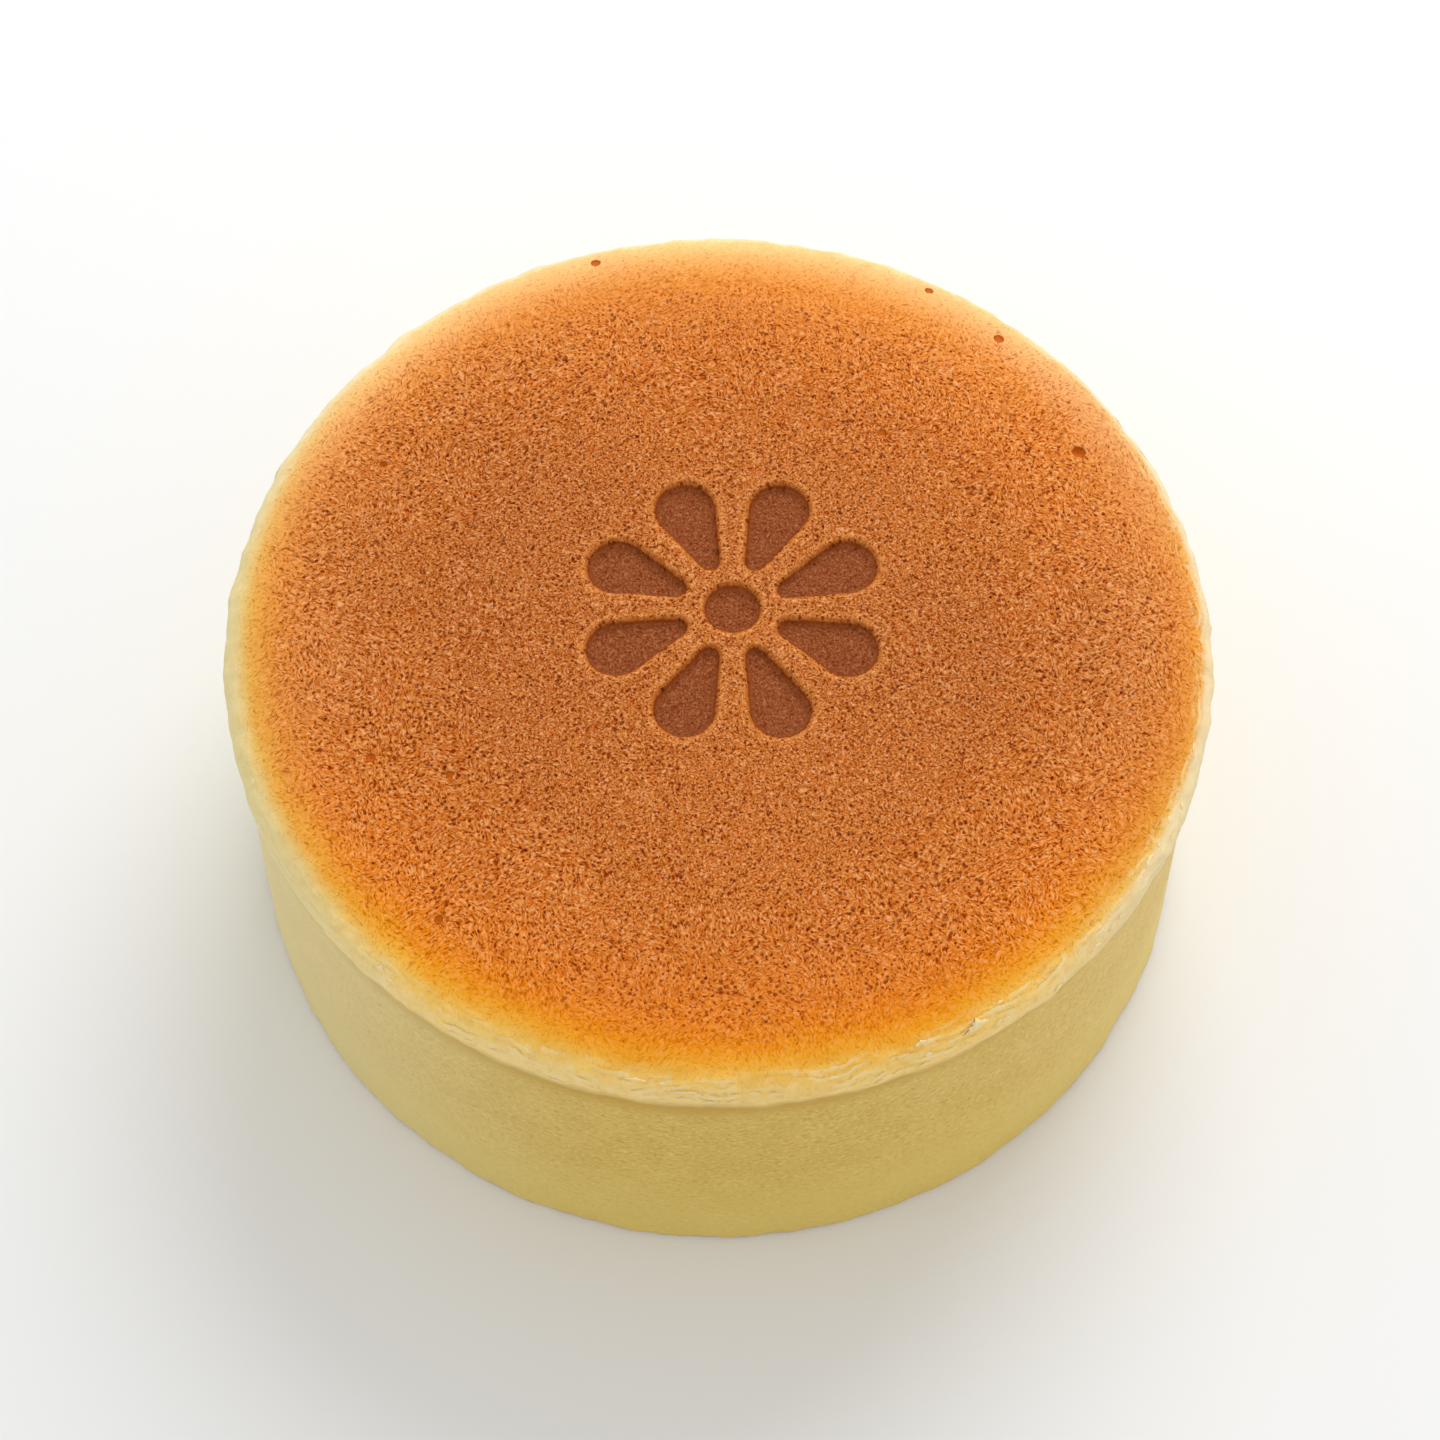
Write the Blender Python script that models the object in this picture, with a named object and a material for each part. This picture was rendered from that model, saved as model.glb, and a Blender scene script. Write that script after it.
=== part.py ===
"""A whole round baked cheesecake of the tall, airy kind, as it comes out of a 15 cm tin.

It is one solid: a crumb wall, a rim that rose over the tin's edge and leans out over the
wall, a low browned crown, a flower pressed into the crown with a hot iron, and a few burst
bubbles in the crust. Metres, +Z up, with the origin at the centre of the underside.
"""
import math
import random

import bmesh
import bpy
from mathutils import Vector, noise

# Driving sizes
TIN_RADIUS = 0.0750
CAKE_HEIGHT = 0.0632

# Profile, worked out from the two sizes above
FOOT_RADIUS = TIN_RADIUS + 0.0001
FOOT_ROUNDING = 0.0009
NECK_RADIUS = TIN_RADIUS - 0.0004
NECK_HEIGHT = CAKE_HEIGHT - 0.0122
WALL_BELLY = 0.0002
RIM_RADIUS = TIN_RADIUS + 0.0013
RIM_HEIGHT = CAKE_HEIGHT - 0.0066
LIP_DEPTH = 0.0044
SHOULDER_WIDTH = 0.0112
SHOULDER_HEIGHT = CAKE_HEIGHT - 0.0015
CROWN_RADIUS = RIM_RADIUS - SHOULDER_WIDTH
CROWN_DROP = CAKE_HEIGHT - SHOULDER_HEIGHT

# Number of facets round the cake and along each stretch of the profile
SIDES = 168
CROWN_STEPS = 9
SHOULDER_STEPS = 7
LIP_STEPS = 4
WALL_STEPS = 6
FOOT_STEPS = 2

# Unevenness of a real cake: height of each kind of relief, and how far apart its bumps are
CROWN_RELIEF, CROWN_BUMP = 0.00028, 0.019
RIM_RELIEF, RIM_BUMP = 0.00036, 0.0046
WALL_RELIEF, WALL_BUMP = 0.00014, 0.016
FOOT_RELIEF, FOOT_BUMP = 0.00022, 0.0075
OVAL_OF_RIM = 0.0003

# The pressed flower
MARK_CENTRE = Vector((0.0022, 0.0036))
MARK_DEPTH = 0.0015
MARK_DRAFT = 0.0005
PETALS = 8
PETAL_INNER_DISTANCE = 0.0092
PETAL_INNER_RADIUS = 0.0015
PETAL_OUTER_DISTANCE = 0.0192
PETAL_OUTER_RADIUS = 0.0046
HEART_RADIUS = 0.0042
ARC_STEPS = 9
CUTTER_TOP = CAKE_HEIGHT + 0.002

# Burst bubbles: distance from the centre, angle in degrees, width
SEEN_BUBBLES = (
    (0.0710, 50.5, 0.0016),
    (0.0659, 30.0, 0.0020),
    (0.0731, 62.1, 0.0013),
    (0.0722, 105.9, 0.0015),
    (0.0472, 176.0, 0.0012),
    (0.0571, -157.2, 0.0014),
    (0.0479, -148.0, 0.0012),
    (0.0644, -130.1, 0.0013),
    (0.0603, 150.2, 0.0012),
)
STRAY_BUBBLES = 4
STRAY_SEED = 7
BUBBLE_DEPTH_SHARE = 0.36


def clear_scene():
    for obj in list(bpy.data.objects):
        bpy.data.objects.remove(obj)


def arc(centre, half_width, half_height, start, end, steps):
    """Points of an elliptical arc between two angles in degrees, both ends included."""
    points = []
    for i in range(steps + 1):
        angle = math.radians(start + (end - start) * i / steps)
        points.append((centre[0] + half_width * math.cos(angle), centre[1] + half_height * math.sin(angle)))
    return points


def crown_height(distance):
    """Height of the smooth crown at a distance from the axis."""
    return CAKE_HEIGHT - CROWN_DROP * min(1.0, distance / CROWN_RADIUS) ** 2.4


def cake_profile():
    """(radius, height) from just off the top's centre, down the outside, to the underside's edge."""
    crown = []
    for i in range(1, CROWN_STEPS):
        radius = CROWN_RADIUS * i / CROWN_STEPS
        crown.append((radius, crown_height(radius)))
    shoulder = arc(
        (CROWN_RADIUS, RIM_HEIGHT), SHOULDER_WIDTH, SHOULDER_HEIGHT - RIM_HEIGHT, 90, 0, SHOULDER_STEPS
    )
    lip_inset = RIM_RADIUS - NECK_RADIUS
    lip = arc((NECK_RADIUS, RIM_HEIGHT), lip_inset, LIP_DEPTH, 0, -78, LIP_STEPS)[1:]
    wall = []
    for i in range(WALL_STEPS + 1):
        share = i / WALL_STEPS
        height = NECK_HEIGHT + (FOOT_ROUNDING - NECK_HEIGHT) * share
        radius = NECK_RADIUS + (FOOT_RADIUS - NECK_RADIUS) * share
        wall.append((radius + WALL_BELLY * math.sin(math.pi * share), height))
    foot_centre = (FOOT_RADIUS - FOOT_ROUNDING, FOOT_ROUNDING)
    foot = arc(foot_centre, FOOT_ROUNDING, FOOT_ROUNDING, 0, -90, FOOT_STEPS)[1:]
    return crown + shoulder + lip + wall + foot


def bump(point, spacing, seed):
    """Smooth bumps between -1 and 1, about one for each spacing."""
    return noise.noise(Vector(point) / spacing + Vector((seed, seed * 0.37, -seed)))


def fade(value, start, end):
    """0 at start, 1 at end, and smooth between them."""
    share = min(1.0, max(0.0, (value - start) / (end - start)))
    return share * share * (3 - 2 * share)


def unevenness(point):
    """How far a point of the smooth cake moves: outwards, and up."""
    distance = math.hypot(point.x, point.y)
    on_wall = 1 - fade(point.z, NECK_HEIGHT - 0.002, NECK_HEIGHT + 0.001)
    at_foot = 1 - fade(point.z, 0.001, 0.006)
    on_crown = fade(point.z, RIM_HEIGHT + 0.002, SHOULDER_HEIGHT - 0.0005)
    at_rim = (1 - on_wall) * (1 - on_crown)
    turn = math.atan2(point.y, point.x)
    outwards = -OVAL_OF_RIM * math.sin(2 * turn + 0.1) * (1 - on_wall)
    outwards += at_rim * RIM_RELIEF * bump(point, RIM_BUMP, 3.1)
    outwards += on_wall * WALL_RELIEF * bump(point, WALL_BUMP, 5.3)
    outwards += at_foot * FOOT_RELIEF * bump(point, FOOT_BUMP, 8.9)
    up = on_crown * CROWN_RELIEF * bump(point, CROWN_BUMP, 1.7) * 2
    up += at_rim * RIM_RELIEF * bump(point, RIM_BUMP, 6.1)
    if distance < CROWN_RADIUS / 2:
        outwards = 0.0
    return outwards, up


def move_unevenly(vertices):
    for vertex in vertices:
        if vertex.co.z < 1e-6:
            continue
        outwards, up = unevenness(vertex.co)
        direction = Vector((vertex.co.x, vertex.co.y, 0))
        if direction.length > 1e-6:
            vertex.co += direction.normalized() * outwards
        vertex.co.z += up


def spin_profile(mesh, profile):
    """Turns the profile round the axis, with a fan at the top's centre and one flat face below."""
    rings = []
    for radius, height in profile:
        ring = []
        for i in range(SIDES):
            turn = 2 * math.pi * i / SIDES
            ring.append(mesh.verts.new((radius * math.cos(turn), radius * math.sin(turn), height)))
        rings.append(ring)
    top = mesh.verts.new((0, 0, CAKE_HEIGHT))
    for i in range(SIDES):
        after = (i + 1) % SIDES
        mesh.faces.new((top, rings[0][i], rings[0][after]))
        for upper, lower in zip(rings, rings[1:]):
            mesh.faces.new((upper[i], lower[i], lower[after], upper[after]))
    mesh.faces.new(list(reversed(rings[-1])))


def object_from(name, mesh, material=None):
    data = bpy.data.meshes.new(name)
    mesh.to_mesh(data)
    mesh.free()
    obj = bpy.data.objects.new(name, data)
    bpy.context.scene.collection.objects.link(obj)
    if material:
        data.materials.append(material)
    return obj


def petal_outline(turn, grow):
    """A drop between two circles, the small one near the flower's heart, grown by a margin."""
    spread = math.asin((PETAL_OUTER_RADIUS - PETAL_INNER_RADIUS) / (PETAL_OUTER_DISTANCE - PETAL_INNER_DISTANCE))
    side = math.degrees(math.pi / 2 + spread)
    outer = arc((PETAL_OUTER_DISTANCE, 0), PETAL_OUTER_RADIUS + grow, PETAL_OUTER_RADIUS + grow, -side, side, ARC_STEPS)
    inner = arc(
        (PETAL_INNER_DISTANCE, 0), PETAL_INNER_RADIUS + grow, PETAL_INNER_RADIUS + grow, side, 360 - side, ARC_STEPS // 2
    )
    points = []
    for x, y in outer + inner:
        points.append(
            Vector((x * math.cos(turn) - y * math.sin(turn), x * math.sin(turn) + y * math.cos(turn))) + MARK_CENTRE
        )
    return points


def heart_outline(grow):
    ring = arc((0, 0), HEART_RADIUS + grow, HEART_RADIUS + grow, 0, 360, 2 * ARC_STEPS)[:-1]
    return [Vector(point) + MARK_CENTRE for point in ring]


def add_stamp(mesh, floor_outline, top_outline):
    """One closed block of the iron: its floor follows the crown at the mark's depth."""
    floor = []
    for point in floor_outline:
        floor.append(mesh.verts.new((point.x, point.y, crown_height(point.length) - MARK_DEPTH)))
    top = [mesh.verts.new((point.x, point.y, CUTTER_TOP)) for point in top_outline]
    count = len(floor)
    middle = sum(floor_outline, Vector((0, 0))) / count
    floor_middle = mesh.verts.new((middle.x, middle.y, crown_height(middle.length) - MARK_DEPTH))
    for i in range(count):
        after = (i + 1) % count
        mesh.faces.new((floor_middle, floor[after], floor[i]))
        mesh.faces.new((floor[i], floor[after], top[after], top[i]))
    mesh.faces.new(top)


def make_iron():
    """The cutter that presses the flower: eight petals round a heart, with sloping sides."""
    slope = MARK_DRAFT * (CUTTER_TOP - CAKE_HEIGHT + MARK_DEPTH) / MARK_DEPTH
    mesh = bmesh.new()
    for i in range(PETALS):
        turn = 2 * math.pi * (i + 0.5) / PETALS
        add_stamp(mesh, petal_outline(turn, 0), petal_outline(turn, slope))
    add_stamp(mesh, heart_outline(0), heart_outline(slope))
    return object_from("flower_iron", mesh)


def bubble_places():
    """The bubbles that show, and stray ones scattered over the outer crust."""
    draw = random.Random(STRAY_SEED)
    places = list(SEEN_BUBBLES)
    for _ in range(STRAY_BUBBLES):
        places.append((draw.uniform(0.034, 0.066), draw.uniform(0, 360), draw.uniform(0.0009, 0.0014)))
    return places


def surface_height(distance):
    """Height of the smooth top at a distance from the axis, over the crown and the shoulder."""
    if distance <= CROWN_RADIUS:
        return crown_height(distance)
    across = (distance - CROWN_RADIUS) / SHOULDER_WIDTH
    return RIM_HEIGHT + (SHOULDER_HEIGHT - RIM_HEIGHT) * math.sqrt(max(0.0, 1 - across * across))


def make_bubbles():
    """The cutter that opens the burst bubbles, each a low round dent."""
    mesh = bmesh.new()
    for distance, degrees, width in bubble_places():
        turn = math.radians(degrees)
        on_crust = Vector((distance * math.cos(turn), distance * math.sin(turn), surface_height(distance)))
        made = bmesh.ops.create_icosphere(mesh, subdivisions=1, radius=width / 2)
        for vertex in made["verts"]:
            vertex.co.z *= 2 * BUBBLE_DEPTH_SHARE
            vertex.co += on_crust
            vertex.co.z += unevenness(on_crust)[1]
    return object_from("bubble_cutter", mesh)


def baked_material():
    material = bpy.data.materials.new("baked_crust")
    material.use_nodes = True
    shader = material.node_tree.nodes["Principled BSDF"]
    shader.inputs["Base Color"].default_value = (0.62, 0.22, 0.055, 1)
    shader.inputs["Roughness"].default_value = 0.62
    shader.inputs["Metallic"].default_value = 0.0
    return material


def cut(obj, cutter):
    cutter.hide_render = True
    cutter.display_type = "WIRE"
    modifier = obj.modifiers.new("cut_" + cutter.name, "BOOLEAN")
    modifier.operation = "DIFFERENCE"
    modifier.solver = "EXACT"
    modifier.object = cutter


def make_cake():
    mesh = bmesh.new()
    spin_profile(mesh, cake_profile())
    move_unevenly(mesh.verts)
    cake = object_from("cheesecake", mesh, baked_material())
    cake.data.shade_smooth()
    cake.data.set_sharp_from_angle(angle=math.radians(40))
    return cake


def main():
    clear_scene()
    cake = make_cake()
    cut(cake, make_iron())
    cut(cake, make_bubbles())


main()
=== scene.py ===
"""A whole round baked cheesecake: browned pitted crust, pale torn ledge and dense crumb wall."""
import math
import random

import bpy
import numpy as np
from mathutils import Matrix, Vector, kdtree, noise
from mathutils.bvhtree import BVHTree


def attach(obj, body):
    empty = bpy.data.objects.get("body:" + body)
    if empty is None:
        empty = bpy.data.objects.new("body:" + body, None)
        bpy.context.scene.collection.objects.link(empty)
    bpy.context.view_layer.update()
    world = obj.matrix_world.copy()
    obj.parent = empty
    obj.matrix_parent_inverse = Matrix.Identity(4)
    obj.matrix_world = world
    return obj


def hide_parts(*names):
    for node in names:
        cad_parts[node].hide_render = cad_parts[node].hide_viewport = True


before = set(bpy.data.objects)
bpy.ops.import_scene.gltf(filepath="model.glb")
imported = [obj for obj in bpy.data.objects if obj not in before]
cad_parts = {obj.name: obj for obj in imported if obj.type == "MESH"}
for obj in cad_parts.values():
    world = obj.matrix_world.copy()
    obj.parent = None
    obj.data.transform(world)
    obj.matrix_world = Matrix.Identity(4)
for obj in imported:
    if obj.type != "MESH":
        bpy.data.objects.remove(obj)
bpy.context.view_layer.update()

# The cake's sizes in metres, as the solid has them
TIN_RADIUS = 0.0750
CAKE_HEIGHT = 0.0632
FOOT_RADIUS = TIN_RADIUS + 0.0001
FOOT_ROUNDING = 0.0009
NECK_RADIUS = TIN_RADIUS - 0.0004
NECK_HEIGHT = CAKE_HEIGHT - 0.0122
WALL_BELLY = 0.0002
RIM_RADIUS = TIN_RADIUS + 0.0013
RIM_HEIGHT = CAKE_HEIGHT - 0.0066
LIP_DEPTH = 0.0044
SHOULDER_WIDTH = 0.0112
SHOULDER_HEIGHT = CAKE_HEIGHT - 0.0015
CROWN_RADIUS = RIM_RADIUS - SHOULDER_WIDTH
CROWN_DROP = CAKE_HEIGHT - SHOULDER_HEIGHT

# Unevenness that the solid has too
CROWN_RELIEF, CROWN_BUMP = 0.00028, 0.019
RIM_RELIEF, RIM_BUMP = 0.00036, 0.0046
WALL_RELIEF, WALL_BUMP = 0.00014, 0.016
FOOT_RELIEF, FOOT_BUMP = 0.00022, 0.0075
OVAL_OF_RIM = 0.0003

# The pressed flower
MARK_CENTRE = np.array((0.0022, 0.0036))
MARK_DEPTH = 0.0015
PETALS = 8
PETAL_INNER_DISTANCE = 0.0092
PETAL_INNER_RADIUS = 0.0015
PETAL_OUTER_DISTANCE = 0.0192
PETAL_OUTER_RADIUS = 0.0046
HEART_RADIUS = 0.0042
MARK_EDGE = 0.00028
FLOWER_REACH = 0.03

# Burst bubbles: distance from the centre, angle in degrees, width
SEEN_BUBBLES = (
    (0.0710, 50.5, 0.0016),
    (0.0659, 30.0, 0.0020),
    (0.0731, 62.1, 0.0013),
    (0.0722, 105.9, 0.0015),
    (0.0472, 176.0, 0.0012),
    (0.0571, -157.2, 0.0014),
    (0.0479, -148.0, 0.0012),
    (0.0644, -130.1, 0.0013),
    (0.0603, 150.2, 0.0012),
)
STRAY_BUBBLES = 4
STRAY_SEED = 7
NO_BUBBLE = 2.0
BUBBLE_FLOOR, BUBBLE_EDGE, BUBBLE_SINK = 0.25, 0.62, 0.42

# Fine detail of the crust
TOP_CELLS = 310
FACING_STEP = 0.0002
PORE_REACH = 0.0705
PORE_SPACING = 0.00235
PORE_SEED = 31
PORE_SHIFT = 0.42
ROW_PITCH = 0.87
CRUST_END = (0.0690, 0.0735)
LEDGE_START = (0.0725, 0.0745)
WRINKLE_RADIUS = 0.0735
WRINKLE_DEPTH = 0.00012

# Radius in millimetres at which the crust turns from orange to yellow
BAKE_REACH = 72.1
BAKE_MIDDLE = 71.7
# Where it is baked further out or less far: direction and spread to each side in degrees, millimetres more
BAKE_LOBES = (
    (20, 60, 3.8),
    (-58, 56, 0.9),
    (105, 15, 1.1),
    (150, 15, 0.5),
    (-143, 22, -0.5),
)
LOBE_LEVEL_SHARE = 0.2

# Torn layers of the ledge
LAYER_PITCH = 0.00125
LAYER_STEP = 0.00015
FRONT_RIGHT = math.radians(-55)

# Flakes that the photograph shows: angle in degrees, radius, length, width and lift in metres
SEEN_FLAKES = (
    (-60.1, 0.0752, 0.0040, 0.0021, 0.0007),
    (-66.5, 0.0741, 0.0021, 0.0006, 0.0002),
    (-66.0, 0.0757, 0.0014, 0.0008, 0.0003),
    (-99.5, 0.0749, 0.0038, 0.0008, 0.0002),
    (-93.5, 0.0757, 0.0050, 0.0008, 0.0002),
)
STRAY_FLAKES = 44
STRAY_SHARE_IN_FRONT = 0.75
FLAKE_SEED = 12
FLAKE_HEIGHT = 0.0011
FLAKE_THICKNESS_SHARE = 0.1

# The wall
WALL_ROWS = 78
WALL_COLUMNS = 720


def deselect_all():
    for obj in bpy.context.selected_objects:
        obj.select_set(False)


def finish_piece(obj, name, material):
    """Names the piece, gives it its material, hangs it under the root body and hides the cake part from the
    model.
    """
    obj.name = name
    obj.data.name = name
    obj.data.materials.clear()
    obj.data.materials.append(material)
    obj.data.shade_smooth()
    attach(obj, "root")
    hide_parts("cheesecake")


def arc(centre, half_width, half_height, start, end, steps):
    """Points of an elliptical arc between two angles in degrees, both ends included."""
    angles = np.radians(np.linspace(start, end, steps + 1))
    return [(centre[0] + half_width * math.cos(a), centre[1] + half_height * math.sin(a)) for a in angles]


def crown_height(distance):
    return CAKE_HEIGHT - CROWN_DROP * np.minimum(1.0, distance / CROWN_RADIUS) ** 2.4


def top_profile():
    """(radius, height) from the middle of the top, over the shoulder and round under the lip."""
    crown = [(r, float(crown_height(r))) for r in np.linspace(0, CROWN_RADIUS, 60)[:-1]]
    shoulder = arc((CROWN_RADIUS, RIM_HEIGHT), SHOULDER_WIDTH, SHOULDER_HEIGHT - RIM_HEIGHT, 90, 0, 60)
    lip = arc((NECK_RADIUS, RIM_HEIGHT), RIM_RADIUS - NECK_RADIUS, LIP_DEPTH, 0, -78, 30)[1:]
    tuck = [(NECK_RADIUS - 0.0004, NECK_HEIGHT - 0.0001)]
    return np.array(crown + shoulder + lip + tuck)


def wall_profile():
    """(radius, height) from the middle of the underside, round the foot and up to inside the lip."""
    points = [(FOOT_RADIUS - FOOT_ROUNDING - 0.0006, 0.0)]
    points += arc((FOOT_RADIUS - FOOT_ROUNDING, FOOT_ROUNDING), FOOT_ROUNDING, FOOT_ROUNDING, -90, 0, 4)
    for i in range(1, WALL_ROWS + 1):
        share = i / WALL_ROWS
        height = FOOT_ROUNDING + (NECK_HEIGHT - FOOT_ROUNDING) * share
        radius = FOOT_RADIUS + (NECK_RADIUS - FOOT_RADIUS) * share + WALL_BELLY * math.sin(math.pi * share)
        points.append((radius, height))
    points.append((NECK_RADIUS - 0.0004, NECK_HEIGHT + 0.0009))
    points.append((NECK_RADIUS - 0.0020, NECK_HEIGHT + 0.0012))
    return points


def fade(value, start, end):
    """0 at start, 1 at end, and smooth between them."""
    share = np.clip((value - start) / (end - start), 0.0, 1.0)
    return share * share * (3 - 2 * share)


def bumps(points, spacing, seed):
    """Smooth bumps between -1 and 1, about one for each spacing, which may differ by axis."""
    shift = Vector((seed, seed * 0.37, -seed))
    scaled = points / np.array(spacing)
    return np.array([noise.noise(Vector(p) + shift) for p in scaled])


def ridges(points, spacing, seed):
    """Thin winding ridges between 0 and 1."""
    shift = Vector((seed, seed * 0.37, -seed))
    scaled = points / spacing
    return np.array([1 - abs(noise.noise(Vector(p) + shift)) * 2.2 for p in scaled])


def unevenness(points):
    """How far points of the smooth cake move outwards and up, as in the solid."""
    distance = np.hypot(points[:, 0], points[:, 1])
    height = points[:, 2]
    turn = np.arctan2(points[:, 1], points[:, 0])
    on_wall = 1 - fade(height, NECK_HEIGHT - 0.002, NECK_HEIGHT + 0.001)
    at_foot = 1 - fade(height, 0.001, 0.006)
    on_crown = fade(height, RIM_HEIGHT + 0.002, SHOULDER_HEIGHT - 0.0005)
    at_rim = (1 - on_wall) * (1 - on_crown)
    outwards = -OVAL_OF_RIM * np.sin(2 * turn + 0.1) * (1 - on_wall)
    outwards += at_rim * RIM_RELIEF * bumps(points, RIM_BUMP, 3.1)
    outwards += on_wall * WALL_RELIEF * bumps(points, WALL_BUMP, 5.3)
    outwards += at_foot * FOOT_RELIEF * bumps(points, FOOT_BUMP, 8.9)
    up = on_crown * CROWN_RELIEF * bumps(points, CROWN_BUMP, 1.7) * 2
    up += at_rim * RIM_RELIEF * bumps(points, RIM_BUMP, 6.1)
    outwards[distance < CROWN_RADIUS / 2] = 0.0
    return outwards, up


def moved(points, outwards, up):
    """Points moved away from the axis and up."""
    distance = np.maximum(np.hypot(points[:, 0], points[:, 1]), 1e-9)
    result = points.copy()
    result[:, 0] += points[:, 0] / distance * outwards
    result[:, 1] += points[:, 1] / distance * outwards
    result[:, 2] += up
    return result


def vertex_places(mesh):
    places = np.empty(len(mesh.vertices) * 3, np.float32)
    mesh.vertices.foreach_get("co", places)
    return places.reshape(-1, 3).astype(float)


def set_places(mesh, places):
    mesh.vertices.foreach_set("co", places.astype(np.float32).ravel())
    mesh.update()


def store_values(mesh, name, values):
    """Keeps one number for each vertex, which a material reads by that name."""
    layer = mesh.attributes.new(name, "FLOAT", "POINT")
    layer.data.foreach_set("value", values.astype(np.float32))


# The pressed flower's outline


def flower_distance(flat):
    """Distance from the flower's outline in metres, negative inside it."""
    offset = flat - MARK_CENTRE
    reach = np.hypot(offset[:, 0], offset[:, 1])
    pitch = 2 * math.pi / PETALS
    turn = np.arctan2(offset[:, 1], offset[:, 0]) - pitch / 2
    turn = turn - pitch * np.round(turn / pitch)
    across = np.abs(reach * np.sin(turn))
    along = reach * np.cos(turn) - PETAL_INNER_DISTANCE
    length = PETAL_OUTER_DISTANCE - PETAL_INNER_DISTANCE
    lean = (PETAL_INNER_RADIUS - PETAL_OUTER_RADIUS) / length
    side = math.sqrt(1 - lean * lean)
    place = -lean * across + side * along
    at_inner = np.hypot(across, along) - PETAL_INNER_RADIUS
    at_outer = np.hypot(across, along - length) - PETAL_OUTER_RADIUS
    between = side * across + lean * along - PETAL_INNER_RADIUS
    petal = np.where(place < 0, at_inner, np.where(place > side * length, at_outer, between))
    return np.minimum(petal, reach - HEART_RADIUS)


def sharpen_flower(flat):
    """Moves the points beside the flower's outline off it, so that its wall is one clean strip of faces."""
    step = 0.00004
    distance = flower_distance(flat)
    slope = np.stack(
        [
            flower_distance(flat + (step, 0)) - flower_distance(flat - (step, 0)),
            flower_distance(flat + (0, step)) - flower_distance(flat - (0, step)),
        ],
        axis=1,
    )
    slope /= np.maximum(np.hypot(slope[:, 0], slope[:, 1]), 1e-12)[:, None]
    push = np.maximum(0, 1 - np.abs(distance) / (2 * MARK_EDGE)) * MARK_EDGE * np.where(distance < 0, -1, 1)
    return flat + slope * push[:, None]


def flower_sink(distance):
    """How far the pressed flower sinks at a distance from its outline."""
    wall = 1 - fade(distance, -MARK_EDGE, MARK_EDGE * 0.9)
    shoulder = 0.18 * (1 - fade(distance, -0.0002, 0.0012))
    return MARK_DEPTH * (0.82 * wall + shoulder)


# The crust


def bubble_places():
    draw = random.Random(STRAY_SEED)
    places = list(SEEN_BUBBLES)
    for _ in range(STRAY_BUBBLES):
        places.append((draw.uniform(0.034, 0.066), draw.uniform(0, 360), draw.uniform(0.0009, 0.0014)))
    return places


def pore_places():
    """Where the crust's pores are, how wide and how deep: a loose hexagonal scatter."""
    draw = random.Random(PORE_SEED)
    places = []
    rows = int(2 * RIM_RADIUS / (PORE_SPACING * ROW_PITCH)) + 1
    for row in range(-rows // 2, rows // 2 + 1):
        for column in range(-rows // 2, rows // 2 + 1):
            x = (column + 0.5 * (row % 2)) * PORE_SPACING
            x += draw.uniform(-PORE_SHIFT, PORE_SHIFT) * PORE_SPACING
            y = row * PORE_SPACING * ROW_PITCH
            y += draw.uniform(-PORE_SHIFT, PORE_SHIFT) * PORE_SPACING
            size = draw.random() ** 2.6
            keep = draw.random()
            distance = math.hypot(x, y)
            crowding = 0.78 + 0.35 * noise.noise(Vector((x, y, 0.0)) / 0.013)
            if distance < PORE_REACH and keep < crowding:
                places.append((x, y, 0.00013 + 0.00022 * size, 0.00010 + 0.00026 * size))
    return places


def bake_reach(turn):
    """Radius in millimetres at which the crust turns from orange to yellow, in each direction."""
    reach = np.full(len(turn), BAKE_REACH)
    for degrees, spread, more in BAKE_LOBES:
        away = np.degrees(np.arccos(np.cos(turn - math.radians(degrees))))
        reach += more * (1 - fade(away, LOBE_LEVEL_SHARE * spread, spread))
    return reach


def bake_level(radius, turn):
    """How baked each spot is, as the radius in millimetres that has that colour at the cake's front."""
    backness = fade(np.cos(turn - math.radians(70)), 0.15, 0.8)
    rightness = fade(np.cos(turn), 0.8, 1.0)
    away = radius * 1000 - bake_reach(turn)
    inner_slope = 1 - 0.38 * backness
    outer_slope = 1.20 - 0.45 * backness + 0.75 * rightness
    return BAKE_MIDDLE + away * np.where(away < 0, inner_slope, outer_slope)


def top_grid():
    """A square grid laid over the top, with its vertices' rings, out to under the lip, and turns."""
    deselect_all()
    bpy.ops.mesh.primitive_grid_add(x_subdivisions=TOP_CELLS, y_subdivisions=TOP_CELLS, size=2)
    obj = bpy.context.active_object
    square = vertex_places(obj.data)[:, :2]
    across, along = square[:, 0], square[:, 1]
    ring = np.maximum(np.abs(across), np.abs(along))
    safe = np.where(ring > 0, ring, 1)
    wide = np.abs(across) >= np.abs(along)
    half, eighth = math.pi, math.pi / 4
    turn_wide = np.where(across < 0, half - eighth * along / safe, eighth * along / safe)
    turn_tall = np.where(along > 0, half / 2 - eighth * across / safe, -half / 2 + eighth * across / safe)
    turn = np.where(wide, turn_wide, turn_tall)
    turn = np.where(turn < -half, turn + 2 * half, np.where(turn > half, turn - 2 * half, turn))
    return obj, ring, turn


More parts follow.
